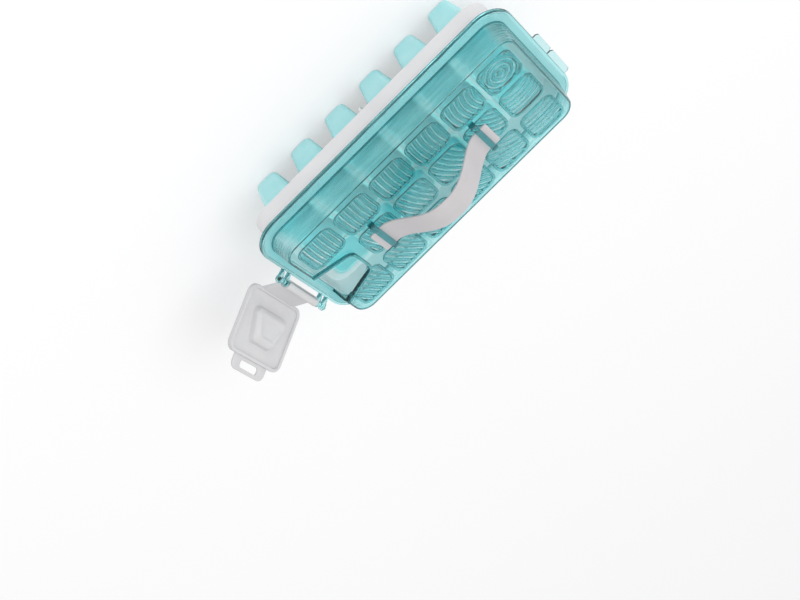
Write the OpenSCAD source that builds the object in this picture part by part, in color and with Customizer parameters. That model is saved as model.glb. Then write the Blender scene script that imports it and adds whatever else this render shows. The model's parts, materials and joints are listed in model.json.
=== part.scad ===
// Push-out ice cube tray with a clear bin lid.
// Eighteen soft cups hang in a stiff frame, the lid makes a bin above them, a strap carries it
// and a hinged flap closes the pouring mouth. Millimetres, +Z up, standing on the cups.

/* [Cups] */
// distance between cup centres, both ways
cup_pitch = 41.2; // [38:0.2:48]
// depth of a cup below the deck
cup_depth = 46.5; // [38:0.5:50]
// outside width of a cup where it meets the deck
cup_width = 36.6; // [32:0.2:38]
// outside width of the cup's foot
cup_foot = 23; // [18:0.5:27]
// corner radius of a cup at the deck
cup_corner = 8; // [5:0.5:11]
// wall thickness of a cup
cup_wall = 1.8; // [1.2:0.1:2.4]
// height of the rim that lies on the deck
cup_rim_t = 1.2; // [0.8:0.1:2]
// how far the rim reaches past the cup wall
cup_rim_w = 1.4; // [0.8:0.1:1.8]

/* [Tray frame] */
// height of the visible skirt
skirt_h = 23.8; // [20:0.2:28]
// how far the skirt reaches below the deck
skirt_drop = 5.8; // [2:0.2:9]
// thickness of skirt and deck
frame_t = 2; // [1.5:0.1:2.6]
// space from the outer cup rims to the skirt
deck_margin = 10; // [6:0.5:14]
// corner radius of the skirt at its top
skirt_corner = 18; // [14:0.5:24]
// draft of the skirt from top to bottom, per side
skirt_draft = 1; // [0.4:0.1:2]
// width of the rim that carries the lid
frame_rim_w = 6.3; // [4:0.1:8]
// height of that rim
frame_rim_h = 2.9; // [2:0.1:4]
// height of the rib across the middle of the underside
cross_rib_h = 20; // [8:0.5:26]

/* [Bin lid] */
// wall thickness of the lid
lid_t = 2.2; // [1.6:0.1:3]
// height of the top face above the ledge
lid_rise = 24; // [18:0.5:34]
// draft of the lid walls, per side
lid_draft = 4; // [2:0.5:6]
// height of the lip outside the frame rim
lip_h = 4.2; // [3.8:0.1:7]
// how far the bead stands out along the lip's lower edge
lip_bead = 0.6; // [0.3:0.1:1.2]
// height of the panels above the rest of the top face, one above each cup
panel_rise = 1; // [0.4:0.1:1.2]
// groove left between neighbouring panels
panel_gap = 4.8; // [3.6:0.2:7]
// reach of the two pull tabs at the far end
tab_reach = 5.5; // [3:0.5:8]
// width of the pull tab near the middle
tab_near_w = 28; // [20:1:36]
// width of the pull tab near the corner
tab_far_w = 36; // [28:1:40]

/* [Pouring mouth] */
// length of the mouth in the top face
mouth_len = 38; // [32:0.5:42]
// half width at its inner end
mouth_half_in = 16; // [14:0.5:19]
// half width at the end wall
mouth_half_out = 28; // [24:0.5:31]
// height of the collar around the mouth
collar_h = 2; // [1:0.1:2.4]
// how far the mouth and its flap sit to one side of the middle
mouth_y = -6; // [-10:0.5:10]

/* [Carry strap] */
// width of the strap
strap_w = 29.5; // [26:0.5:36]
// thickness of the strap
strap_t = 2.2; // [1.6:0.1:2.8]
// height of the arch above the top face
strap_arch = 28; // [22:1:36]
// distance between the two keeper bars
keeper_span = 118; // [108:1:122]
// width of a keeper bar along the strap
keeper_w = 5.5; // [4:0.5:7]

/* [Flap] */
// half width of the flap plate
flap_half_w = 38; // [34:0.5:41]
// length of the flap plate
flap_len = 61.5; // [57:0.5:63]
// thickness of the flap plate
flap_t = 2; // [1.5:0.1:2.6]
// height of the rim around the plate
flap_rim_h = 2.6; // [2.4:0.1:3.2]
// depth of the plug that fills the mouth
plug_depth = 8; // [6:0.5:18]
// reach of the pull loop
loop_reach = 13; // [10:0.5:13.5]
// half width of the pull loop
loop_half_w = 24; // [18:0.5:27]
// angle between the shut flap and the flap as drawn
flap_open = 149; // [100:1:170]

/* [Hidden] */
$fn = 64;
fit_gap = 0.1;
swing_gap = 0.4;
ball_low = cos(180 / 16);
cols = 6;
rows = 3;
deck_z = cup_depth;
deck_top = deck_z + frame_t;
cup_top = deck_top + cup_rim_t;
cup_rim_half = cup_width / 2 + cup_rim_w;
skirt_z = deck_z - skirt_drop;
skirt_top = skirt_z + skirt_h;
skirt_x = cup_pitch * (cols - 1) / 2 + cup_rim_half + deck_margin + 0.8;
skirt_y = cup_pitch * (rows - 1) / 2 + cup_rim_half + deck_margin;
rim_x = skirt_x + frame_rim_w;
rim_y = skirt_y + frame_rim_w;
rim_r = skirt_corner + frame_rim_w;
rim_top = skirt_top + frame_rim_h;
ledge_z = rim_top + fit_gap;
ledge_top = ledge_z + lid_t;
lid_top = ledge_top + lid_rise;
face_z = lid_top - panel_rise;
wall_rise = face_z - ledge_top;
lip_gap = 0.5;
lip_x = rim_x + lip_gap + lid_t;
lip_y = rim_y + lip_gap + lid_t;
lip_r = rim_r + lip_gap + lid_t;
lip_z = ledge_top - lip_h;
tab_gap = 1;
tab_far_y = lip_r - lip_y - tab_gap;
tab_near_y = tab_far_y + tab_far_w + tab_gap;
lid_corner = skirt_corner - lid_draft;
edge_round = 1.4;
edge_inset = 0.9;
face_root = face_z - 0.5;
face_x = skirt_x - lid_draft;
panel_half = (cup_pitch - panel_gap) / 2;
panel_step = 1.6;
keeper_h = strap_t + 0.9;
keeper_t = 2.2;
keeper_half = max(cup_pitch / 2 + 1.3, strap_w / 2 + 0.8 + keeper_t);
strap_x = -2.5;
strap_y = strap_w / 2 + keeper_t + 0.4 - keeper_half;
strap_tail = 6;
strap_z = lid_top + 0.1;
arch_power = 1.26;
hinge_r = 2.2;
barrel_r = hinge_r + fit_gap + 1.9;
hinge_x = -(lip_x + barrel_r + 3.4);
hinge_z = ledge_top + 3;
barrel_half = 23;
lug_t = 2;
lug_gap = 7;
lug_in = barrel_half + 1.5;
lug_out = lug_in + lug_t + lug_gap;
flap_face = lid_top + swing_gap - hinge_z;
plate_face = flap_face + flap_rim_h;
plate_top = plate_face + flap_t;
mouth_in_x = -face_x + mouth_len;
mouth_corner = 8;
mouth_run = face_x + lid_draft;
flap_cover = 10.5;
flap_far = mouth_in_x - hinge_x + flap_cover;
flap_near = flap_far - flap_len;
plug_gap = 1.3;
plug_corner = 7;
plug_ease = 1;
plug_taper = 5;
plug_wall = 2.4;
loop_corner = 7;
loop_band = 3.2;
slot_half_w = 13;
slot_corner = 2.5;
plug_inset = 3.5;
plug_short = 6;
plug_far = mouth_in_x - hinge_x - plug_inset;
plug_near = plug_far - mouth_len + plug_short;
tip_x = hinge_x + (flap_far + loop_reach) * cos(flap_open) - plate_top * sin(flap_open);
far_x = lip_x + lip_bead + tab_reach;
shift_x = -(tip_x + far_x) / 2;

// Flat rounded rectangle given by its half sizes.
module rounded(half_x, half_y, r) {
    square([2 * half_x - 2 * r, 2 * half_y], center = true);
    square([2 * half_x, 2 * half_y - 2 * r], center = true);
    for (sx = [-1, 1], sy = [-1, 1])
        translate([sx * (half_x - r), sy * (half_y - r)]) circle(r);
}

// Rounded block with straight draft: corner cones joined by two wedge prisms.
// The half sizes and radius are those at the bottom, grow is what each side gains at the top.
module drafted(half_x, half_y, r, grow, height) {
    cx = half_x - r;
    cy = half_y - r;
    rotate([90, 0, 0]) linear_extrude(2 * cy, center = true) polygon([
        [-half_x, 0], [half_x, 0], [half_x + grow, height], [-half_x - grow, height]]);
    rotate([90, 0, 90]) linear_extrude(2 * cx, center = true) polygon([
        [-half_y, 0], [half_y, 0], [half_y + grow, height], [-half_y - grow, height]]);
    for (sx = [-1, 1], sy = [-1, 1])
        translate([sx * cx, sy * cy, 0]) cylinder(h = height, r1 = r, r2 = r + grow);
}

// Centre of the cup in column c and row r.
function cup_x(c) = (c - (cols + 1) / 2) * cup_pitch;
function cup_y(r) = ((rows + 1) / 2 - r) * cup_pitch;

// Stiff frame: skirt, deck with a window for each cup, rim for the lid and a rib under the deck.
module tray_frame() {
    color([0.86, 0.86, 0.87]) difference() {
        union() {
            translate([0, 0, skirt_z]) drafted(skirt_x - skirt_draft, skirt_y - skirt_draft,
                skirt_corner - skirt_draft, skirt_draft, skirt_h);
            translate([0, 0, skirt_top]) linear_extrude(frame_rim_h) rounded(rim_x, rim_y, rim_r);
        }
        translate([0, 0, deck_top]) linear_extrude(skirt_h + frame_rim_h)
            rounded(skirt_x - skirt_draft - frame_t, skirt_y - skirt_draft - frame_t,
                skirt_corner - skirt_draft - frame_t);
        translate([0, 0, skirt_z - 1]) linear_extrude(deck_z - skirt_z + 1)
            rounded(skirt_x - skirt_draft - frame_t, skirt_y - skirt_draft - frame_t,
                skirt_corner - skirt_draft - frame_t);
        for (c = [1 : cols], r = [1 : rows]) translate([cup_x(c), cup_y(r), deck_z - 1])
            linear_extrude(frame_t + 2) rounded(cup_width / 2 + fit_gap, cup_width / 2 + fit_gap,
                cup_corner + fit_gap);
    }
    color([0.86, 0.86, 0.87]) cross_rib();
}

// Rib between the two middle columns, from skirt to skirt, with its lower corners cut off.
module cross_rib() {
    half = skirt_y - skirt_draft - frame_t / 2;
    low = deck_z - cross_rib_h;
    cut = max(0.1, min(10, skirt_z - low));
    rotate([90, 0, 90]) linear_extrude(frame_t, center = true) polygon([
        [-half, deck_z + 0.5], [-half, low + cut], [-half + cut, low],
        [half - cut, low], [half, low + cut], [half, deck_z + 0.5]]);
}

// Soft cup: a drafted bucket with a rounded foot, a straight neck in the deck and a rim on top of it.
module cup(c, r) {
    half = cup_width / 2;
    foot = cup_foot / 2;
    round_out = 5;
    round_in = round_out - cup_wall;
    color([0.65, 0.86, 0.88]) translate([cup_x(c), cup_y(r), 0]) difference() {
        union() {
            hull() {
                translate([0, 0, deck_z - 0.5]) corner_posts(half, cup_corner, 0.5);
                foot_balls(foot, round_out, round_out * ball_low);
            }
            translate([0, 0, deck_z]) linear_extrude(cup_top - deck_z) rounded(half, half, cup_corner);
            translate([0, 0, deck_top]) linear_extrude(cup_rim_t)
                rounded(cup_rim_half, cup_rim_half, cup_corner + cup_rim_w);
        }
        hull() {
            translate([0, 0, deck_z - 0.5]) corner_posts(half - cup_wall, cup_corner - cup_wall, 0.5);
            foot_balls(foot - cup_wall, round_in, round_in * ball_low + cup_wall + 0.4);
        }
        translate([0, 0, deck_z - 0.1]) linear_extrude(cup_top - deck_z + 1)
            rounded(half - cup_wall, half - cup_wall, cup_corner - cup_wall);
    }
}

module corner_posts(half, r, height) {
    for (sx = [-1, 1], sy = [-1, 1]) translate([sx * (half - r), sy * (half - r), 0])
        cylinder(h = height, r = r, $fn = 24);
}

module foot_balls(half, r, z) {
    for (sx = [-1, 1], sy = [-1, 1]) translate([sx * (half - r), sy * (half - r), z])
        sphere(r, $fn = 16);
}

// Outline of the pouring mouth, seen from above, with its two inner corners rounded.
function mouth_points(extra, reach) = let (
    x1 = mouth_in_x + extra, w1 = mouth_half_in + extra, w2 = mouth_half_out + extra,
    r = mouth_corner + extra, k = (w2 - w1) / mouth_len, n = sqrt(1 + k * k), turn = 90 - atan(k),
    cx = x1 - r, cy = w1 + k * r - r * n)
    concat(
        [[-reach, -(w1 + k * (x1 + reach))]],
        [for (i = [0 : 6]) [cx + r * cos(-turn + turn * i / 6), -cy + r * sin(-turn + turn * i / 6)]],
        [for (i = [0 : 6]) [cx + r * cos(turn * i / 6), cy + r * sin(turn * i / 6)]],
        [[-reach, w1 + k * (x1 + reach)]]);

// Clear bin lid: drafted bin, ledge and lip over the frame rim, mouth, strap keepers and hinge lugs.
module bin_lid() {
    sill_z = ledge_top + 3;
    slope = lid_draft / wall_rise;
    color([0.35, 0.75, 0.78, 0.55]) {
        difference() {
            union() {
                lid_block(slope);
                face_panels(face_root, lid_top, 0);
                translate([0, 0, ledge_z]) linear_extrude(lid_t) rounded(lip_x, lip_y, lip_r);
                translate([0, 0, face_root]) linear_extrude(lid_top + collar_h - face_root)
                    intersection() {
                        translate([0, mouth_y]) polygon(mouth_points(lid_t, mouth_run));
                        translate([-face_x + edge_inset, -skirt_y]) square([mouth_run, 2 * skirt_y]);
                    }
            }
            translate([0, 0, ledge_z]) drafted(skirt_x + slope * lid_t - lid_t,
                skirt_y + slope * lid_t - lid_t, skirt_corner + slope * lid_t - lid_t,
                -slope * wall_rise, wall_rise);
            face_panels(face_z - lid_t - 1, lid_top - lid_t, panel_step);
            translate([0, 0, sill_z]) linear_extrude(lid_top - sill_z + collar_h + 1)
                translate([0, mouth_y]) polygon(mouth_points(0, mouth_run));
        }
        difference() {
            union() {
                translate([0, 0, lip_z]) linear_extrude(lip_h - lid_t + 0.5) rounded(lip_x, lip_y, lip_r);
                translate([0, 0, lip_z]) linear_extrude(1.6)
                    rounded(lip_x + lip_bead, lip_y + lip_bead, lip_r + lip_bead);
            }
            translate([0, 0, lip_z - 1]) linear_extrude(lip_h - lid_t + 1)
                rounded(rim_x + lip_gap, rim_y + lip_gap, rim_r + lip_gap);
            translate([0, 0, lip_z]) linear_extrude(lip_h) rounded(rim_x - 2, rim_y - 2, rim_r - 2);
        }
        for (end = [-1, 1]) keeper(strap_x + end * keeper_span / 2);
        for (side = [-1, 1], y = [lug_in, lug_out]) hinge_lug(mouth_y + side * (y + lug_t / 2));
        translate([hinge_x, mouth_y, hinge_z]) rotate([90, 0, 0])
            cylinder(h = 2 * (lug_out + lug_t), r = hinge_r, center = true);
        pull_tab(tab_near_y, tab_near_y + tab_near_w);
        pull_tab(tab_far_y, tab_far_y + tab_far_w);
    }
}

// Outside of the bin: drafted walls and a slightly eased edge around the top face.
module lid_block(slope) {
    wall_h = lid_t + wall_rise - edge_round;
    translate([0, 0, ledge_z]) drafted(skirt_x + slope * lid_t, skirt_y + slope * lid_t,
        skirt_corner + slope * lid_t, -slope * wall_h, wall_h);
    translate([0, 0, face_z - edge_round]) drafted(face_x + slope * edge_round,
        skirt_y - lid_draft + slope * edge_round, lid_corner + slope * edge_round,
        -slope * edge_round - edge_inset, edge_round);
}

// Panels raised from the top face, one above each cup, with none in the middle where the mouth is.
// Drawn smaller and lower, the same shapes hollow them out from below.
module face_panels(low, high, inset) {
    for (c = [1 : cols], r = [1 : rows]) if (c > 1 || r != 2)
        translate([cup_x(c), cup_y(r), low]) linear_extrude(high - low)
            rounded(panel_half - inset, panel_half - inset, cup_corner - inset);
}

// Bar across the strap, on two feet in the grooves beside the middle row of panels.
module keeper(x) {
    under = lid_top + keeper_h - face_root;
    tall = under + keeper_t;
    inside = keeper_half - keeper_t;
    translate([x, 0, face_root]) difference() {
        translate([-keeper_w / 2, -keeper_half, 0]) cube([keeper_w, 2 * keeper_half, tall]);
        translate([-keeper_w, -inside, -1]) cube([2 * keeper_w, 2 * inside, under + 1]);
        for (side = [-1, 1]) translate([0, side * (keeper_half + 0.6), tall]) rotate([45, 0, 0])
            cube([2 * keeper_w, 2, 2], center = true);
    }
}

// Lug that carries the hinge bar in front of the lip.
module hinge_lug(y) {
    translate([0, y, 0]) rotate([90, 0, 0]) linear_extrude(lug_t, center = true) {
        translate([hinge_x, hinge_z]) circle(hinge_r + 1.5);
        polygon([
            [hinge_x + 0.5, hinge_z + hinge_r + 1.4], [-lip_x + 1.5, ledge_top - 0.1],
            [-lip_x + 1.5, lip_z + 0.4], [hinge_x - 0.5, hinge_z - hinge_r - 1.4]]);
    }
}

// Thin tab on the lip for pulling the lid off.
module pull_tab(y_from, y_to) {
    translate([0, 0, lip_z]) linear_extrude(1.4) difference() {
        translate([lip_x - 0.5, y_from]) square([lip_bead + tab_reach + 0.5, y_to - y_from]);
        translate([lip_x + lip_bead + tab_reach, y_to]) rotate(45) square(3.2, center = true);
        translate([lip_x + lip_bead + tab_reach, y_from]) rotate(45) square(3.2, center = true);
    }
}

// Strap: its flat tails lie under the keepers, against one foot, and its middle stands up as an arch
// that is a little flatter at the top than a cosine.
module carry_strap() {
    steps = 36;
    half = keeper_span / 2 - keeper_w / 2 - 0.8;
    tail = keeper_span / 2 + keeper_w / 2 + strap_tail;
    function way(u) = pow(abs(u), arch_power);
    function rise(u) = strap_arch * (1 + cos(180 * way(u))) / 2;
    function slope(u) = -sign(u) * strap_arch * PI / (2 * half) * arch_power
        * pow(abs(u), arch_power - 1) * sin(180 * way(u));
    low = [for (i = [0 : steps]) let (u = 2 * i / steps - 1) [u * half, rise(u)]];
    high = [for (i = [steps : -1 : 0]) let (u = 2 * i / steps - 1, s = slope(u), n = sqrt(1 + s * s))
        [u * half - strap_t * s / n, rise(u) + strap_t / n]];
    color([0.78, 0.78, 0.79]) translate([strap_x, strap_y, strap_z]) rotate([90, 0, 0])
        linear_extrude(strap_w, center = true)
            polygon(concat([[-tail, 0]], low, [[tail, 0], [tail, strap_t]], high, [[-tail, strap_t]]));
}

// Flap drawn shut about its hinge, then swung open.
module pour_flap() {
    color([0.83, 0.83, 0.83]) translate([hinge_x, mouth_y, hinge_z])
        rotate([0, -flap_open, 0]) difference() {
        union() {
            translate([0, 0, plate_face]) linear_extrude(flap_t) {
                flap_plate(0);
                translate([flap_far + loop_reach / 2 - 4, 0])
                    rounded(loop_reach / 2 + 4, loop_half_w, loop_corner);
            }
            translate([0, 0, flap_face]) linear_extrude(flap_rim_h + flap_t) difference() {
                flap_plate(0);
                flap_plate(3.2);
            }
            plug();
            apron();
            rotate([90, 0, 0]) cylinder(h = 2 * barrel_half, r = barrel_r, center = true);
        }
        plug_well();
        translate([(flap_far + loop_reach / 2 - 0.3), 0, plate_face - 1]) linear_extrude(flap_t + 2)
            rounded(loop_reach / 2 - loop_band, slot_half_w, slot_corner);
        rotate([90, 0, 0]) cylinder(h = 2 * barrel_half + 2, r = hinge_r + fit_gap, center = true);
        rotate([0, -45, 0]) translate([-barrel_r, 0, 0])
            cube([2 * barrel_r, 2 * barrel_half + 2, 3.4], center = true);
    }
}

// Outline of the plate.
module flap_plate(inset) {
    r = 9;
    translate([(flap_near + flap_far) / 2, 0]) rounded(flap_len / 2 - inset, flap_half_w - inset, r - inset);
}

// Half width of the plug at a corner of radius r centred at x from the hinge, clear of the mouth's side.
function plug_half(x, r) = let (k = (mouth_half_out - mouth_half_in) / mouth_len)
    mouth_half_in + k * (mouth_in_x - hinge_x - x) - (r + plug_gap) * sqrt(1 + k * k) + r;

// Plug below the plate, tapered like the mouth that it fills, with a broad eased edge.
module plug() {
    w1 = plug_half(plug_far - plug_corner, plug_corner);
    w2 = plug_half(plug_near + plug_corner, plug_corner);
    hull() {
        translate([0, 0, plate_face]) plug_slab(plug_near, plug_far, w2, w1, plug_corner);
        translate([0, 0, plate_face - plug_depth + 3])
            plug_slab(plug_near + plug_ease, plug_far - plug_ease, w2 - plug_ease, w1 - plug_ease,
                plug_corner - plug_ease / 2);
        translate([0, 0, plate_face - plug_depth])
            plug_slab(plug_near + plug_taper, plug_far - plug_taper, w2 - plug_taper, w1 - plug_taper,
                plug_corner - plug_taper * 0.4);
    }
}

// Hollow of the plug, open on the outer face of the flap.
module plug_well() {
    w1 = plug_half(plug_far - plug_corner, plug_corner) - plug_wall;
    w2 = plug_half(plug_near + plug_corner, plug_corner) - plug_wall;
    hull() {
        translate([0, 0, plate_top + 1])
            plug_slab(plug_near + plug_wall, plug_far - plug_wall, w2, w1, plug_corner - 2);
        translate([0, 0, plate_face - plug_depth + 1.5 * plug_wall])
            plug_slab(plug_near + 2 * plug_wall, plug_far - 2 * plug_wall, w2 - plug_wall, w1 - plug_wall,
                plug_corner - 2.5);
    }
}

module plug_slab(x1, x2, w1, w2, r) {
    for (side = [-1, 1]) {
        translate([x1 + r, side * (w1 - r), 0]) cylinder(h = 0.5, r = r, $fn = 32);
        translate([x2 - r, side * (w2 - r), 0]) cylinder(h = 0.5, r = r, $fn = 32);
    }
}

// Sloping web from the hinge barrel up to the plate.
module apron() {
    rotate([90, 0, 0]) linear_extrude(2 * barrel_half, center = true) polygon([
        [-barrel_r + 0.4, 1], [flap_near, plate_top], [flap_near + 3, plate_top],
        [flap_near + 3, plate_face - 0.6], [0.6, barrel_r - 0.2]]);
}

translate([shift_x, 0, 0]) {
    tray_frame();
    for (c = [1 : cols], r = [1 : rows])
        cup(c, r);
    bin_lid();
    carry_strap();
    pour_flap();
}
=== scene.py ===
# Push-out ice cube tray: frame with soft cups, clear bin lid, carry strap and pouring flap.
import json
import math

import bmesh
import bpy
from mathutils import Matrix, Vector


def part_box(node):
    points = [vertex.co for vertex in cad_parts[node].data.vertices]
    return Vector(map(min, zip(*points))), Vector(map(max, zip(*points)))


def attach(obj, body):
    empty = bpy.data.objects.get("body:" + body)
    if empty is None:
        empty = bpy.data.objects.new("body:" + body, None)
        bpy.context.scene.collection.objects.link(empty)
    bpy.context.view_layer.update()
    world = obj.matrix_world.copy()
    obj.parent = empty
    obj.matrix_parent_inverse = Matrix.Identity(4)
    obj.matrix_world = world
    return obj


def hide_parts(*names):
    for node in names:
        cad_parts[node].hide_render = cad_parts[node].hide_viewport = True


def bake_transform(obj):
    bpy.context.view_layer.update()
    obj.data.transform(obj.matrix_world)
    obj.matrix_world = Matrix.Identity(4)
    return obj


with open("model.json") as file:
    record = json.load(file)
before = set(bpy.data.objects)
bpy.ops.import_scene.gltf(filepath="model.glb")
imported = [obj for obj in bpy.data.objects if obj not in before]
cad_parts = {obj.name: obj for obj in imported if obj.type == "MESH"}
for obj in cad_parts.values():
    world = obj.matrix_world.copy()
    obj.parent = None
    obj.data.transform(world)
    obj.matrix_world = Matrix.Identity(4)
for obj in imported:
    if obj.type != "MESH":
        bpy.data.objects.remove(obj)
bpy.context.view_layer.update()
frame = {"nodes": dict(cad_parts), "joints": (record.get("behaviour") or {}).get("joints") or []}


# Tray frame.
# A stiff pale ring injection-moulded from polypropylene, with a deck that has a window for each cup
# and a cross rib below it. Its rim carries the lid. The model's own solid only gets its finish here.

MM = 0.001
frame_low, frame_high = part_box("tray_frame")
TRAY_X = (frame_low.x + frame_high.x) / 2
RIM_X = (frame_high.x - frame_low.x) / 2 / MM
RIM_Y = (frame_high.y - frame_low.y) / 2 / MM
RIM_TOP = frame_high.z / MM
FRAME_WHITE = "E4E3E3"
FRAME_SHADE = "D5D4D6"
FRAME_FLOW = 38
FRAME_GRAIN = 0.9


def linear(colour):
    """An sRGB hex colour as linear red, green, blue and alpha."""
    parts = [int(colour[i:i + 2], 16) / 255 for i in (0, 2, 4)]
    return [p / 12.92 if p <= 0.04045 else ((p + 0.055) / 1.055) ** 2.4 for p in parts] + [1.0]


def add_node(tree, kind, values=None, links=None, **settings):
    """Adds a shader node, with its settings, its input values and what its inputs are linked from."""
    node = tree.nodes.new(kind)
    for name, value in settings.items():
        setattr(node, name, value)
    for name, value in (values or {}).items():
        node.inputs[name].default_value = value
    for name, (source, output) in (links or {}).items():
        tree.links.new(source.outputs[output], node.inputs[name])
    return node


def new_material(name):
    """An empty node material with its output and a Principled shader linked to it."""
    material = bpy.data.materials.new(name)
    material.use_nodes = True
    tree = material.node_tree
    tree.nodes.clear()
    shader = add_node(tree, "ShaderNodeBsdfPrincipled")
    add_node(tree, "ShaderNodeOutputMaterial", links={"Surface": (shader, "BSDF")})
    return material, tree, shader


def moulded(name, pale, shade, cloud, grain, relief):
    """A moulded material: a colour that clouds between two tones, and a fine grain in relief.

    cloud and grain are each a size in millimetres with the detail of its noise, and relief is a
    strength with a depth in millimetres.
    """
    material, tree, shader = new_material(name)
    place = add_node(tree, "ShaderNodeTexCoord")
    clouds = add_node(tree, "ShaderNodeTexNoise", {"Scale": 1 / (cloud[0] * MM), "Detail": cloud[1]},
                      {"Vector": (place, "Object")})
    # A Mix node's two colours are its inputs 6 and 7, and its mixed colour is output 2.
    tone = add_node(tree, "ShaderNodeMix", {6: linear(shade), 7: linear(pale)},
                    {0: (clouds, "Fac")}, data_type="RGBA")
    tree.links.new(tone.outputs[2], shader.inputs["Base Color"])
    grains = add_node(tree, "ShaderNodeTexNoise", {"Scale": 1 / (grain[0] * MM), "Detail": grain[1]},
                      {"Vector": (place, "Object")})
    bumps = add_node(tree, "ShaderNodeBump", {"Strength": relief[0], "Distance": relief[1] * MM},
                     {"Height": (grains, "Fac")})
    tree.links.new(bumps.outputs["Normal"], shader.inputs["Normal"])
    return material, shader


# Polypropylene from a satin mould: soft broad highlights, faint and wide clouding where the melt
# flowed, and a fine even grain that is drawn coarser than the real one so that it shows.
frame_plastic, shader = moulded("polypropylene_satin_moulded", FRAME_WHITE, FRAME_SHADE,
                                cloud=(FRAME_FLOW, 3.0), grain=(FRAME_GRAIN, 2.0), relief=(0.06, 0.1))
shader.inputs["Roughness"].default_value = 0.42
shader.inputs["IOR"].default_value = 1.49
shader.inputs["Subsurface Weight"].default_value = 0.08
shader.inputs["Subsurface Radius"].default_value = (1.0, 1.0, 1.0)
shader.inputs["Subsurface Scale"].default_value = 1.5 * MM

frame_piece = frame["nodes"]["tray_frame"]
frame_piece.data.materials.clear()
frame_piece.data.materials.append(frame_plastic)


# Soft cups.
# Eighteen drafted buckets of translucent silicone, three rows of six, pressed into the windows of
# the deck, with a thin rim on top of it. The foot of each gives way when a thumb pushes it up.

CUP_COLUMNS = 6
CUP_ROWS = 3
CUP_PITCH = 41.2
CUP_TOP = 49.7
CUP_RIM_T = 1.2
CUP_RIM_OUT = 1.4
CUP_RIM_EASE = 0.5
CUP_NECK = 2
CUP_HALF = 18.3
CUP_CORNER = 8
CUP_WALL = 1.8
CUP_FOOT_HALF = 11.5
CUP_FOOT_ROUND = 5
CUP_FLOOR_ROUND = 3.2
CUP_EASE = 0.4
CUP_AQUA = "C2F6FA"
CUP_DEEP = "A6E6EB"
CUP_CLOUD = 14
CUP_SKIN = 1.6


def rounded_ring(half_x, half_y, radius, z, arc=8):
    """A level rounded rectangle's points, counter-clockwise from above."""
    ring = []
    for quarter, (side_x, side_y) in enumerate(((1, 1), (-1, 1), (-1, -1), (1, -1))):
        for step in range(arc + 1):
            angle = math.radians(90 * (quarter + step / arc))
            ring.append(Vector((side_x * (half_x - radius) + radius * math.cos(angle),
                                side_y * (half_y - radius) + radius * math.sin(angle), z)))
    return ring


def loft(mesh, rings, closed=False):
    """Skins a row of rings of equal length. An open row is capped at both ends."""
    rows = [[mesh.verts.new(point) for point in ring] for ring in rings]
    pairs = list(zip(rows, rows[1:]))
    if closed:
        pairs.append((rows[-1], rows[0]))
    else:
        mesh.faces.new(rows[0][::-1])
        mesh.faces.new(rows[-1])
    for low, high in pairs:
        for i in range(len(low)):
            j = (i + 1) % len(low)
            mesh.faces.new((low[i], low[j], high[j], high[i]))


def new_piece(name, mesh):
    """An object from a mesh in tray-centred millimetres, still unscaled, with outward normals."""
    bmesh.ops.recalc_face_normals(mesh, faces=mesh.faces)
    data = bpy.data.meshes.new(name)
    mesh.to_mesh(data)
    mesh.free()
    piece = bpy.data.objects.new(name, data)
    bpy.context.scene.collection.objects.link(piece)
    return piece


def set_down(piece, material, sharp=40):
    """Takes a piece from tray-centred millimetres to its place in the frame, smooth and finished."""
    piece.data.transform(Matrix.Translation((TRAY_X, 0, 0)) @ Matrix.Scale(MM, 4))
    piece.data.polygons.foreach_set("use_smooth", [True] * len(piece.data.polygons))
    piece.data.set_sharp_from_angle(angle=math.radians(sharp))
    piece.data.materials.clear()
    piece.data.materials.append(material)


def cup_centre(column, row):
    """The middle of a cup; column 1 is at the pouring end and row 1 at the +Y side."""
    from_middle = column - (CUP_COLUMNS + 1) / 2
    from_axis = (CUP_ROWS + 1) / 2 - row
    return Vector((from_middle * CUP_PITCH, from_axis * CUP_PITCH, 0))


def cup_rings():
    """A cup's rings from the middle of its inner floor, up the inside, over the rim and down.

    Each is half the width, the corner's radius and the height.
    """
    deck = CUP_TOP - CUP_RIM_T - CUP_NECK
    floor_half = CUP_FOOT_HALF - CUP_WALL - CUP_FLOOR_ROUND
    inner_half, inner_corner = CUP_HALF - CUP_WALL, CUP_CORNER - CUP_WALL
    rim_half, rim_corner = CUP_HALF + CUP_RIM_OUT, CUP_CORNER + CUP_RIM_OUT
    rings = []
    for step in range(7):
        bend = math.radians(90 * step / 6)
        rings.append((floor_half + CUP_FLOOR_ROUND * math.sin(bend),
                      CUP_FLOOR_ROUND - CUP_EASE * math.cos(bend),
                      CUP_WALL + CUP_EASE + CUP_FLOOR_ROUND * (1 - math.cos(bend))))
    rings += [(inner_half, inner_corner, deck),
              (inner_half, inner_corner, CUP_TOP - CUP_EASE),
              (inner_half + CUP_EASE, inner_corner + CUP_EASE, CUP_TOP),
              (rim_half - CUP_RIM_EASE, rim_corner - CUP_RIM_EASE, CUP_TOP),
              (rim_half, rim_corner, CUP_TOP - CUP_EASE),
              (rim_half, rim_corner, CUP_TOP - CUP_RIM_T),
              (CUP_HALF, CUP_CORNER, CUP_TOP - CUP_RIM_T),
              (CUP_HALF, CUP_CORNER, deck)]
    for step in range(1, 9):
        share = step / 9
        rings.append((CUP_HALF + (CUP_FOOT_HALF - CUP_HALF) * share,
                      CUP_CORNER + (CUP_FOOT_ROUND - CUP_CORNER) * share,
                      deck + (CUP_FOOT_ROUND - deck) * share))
    for step in range(9):
        bend = math.radians(90 * step / 8)
        rings.append((CUP_FOOT_HALF - CUP_FOOT_ROUND + CUP_FOOT_ROUND * math.cos(bend),
                      CUP_FOOT_ROUND - CUP_EASE * math.sin(bend),
                      CUP_FOOT_ROUND - CUP_FOOT_ROUND * math.sin(bend)))
    return rings


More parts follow.
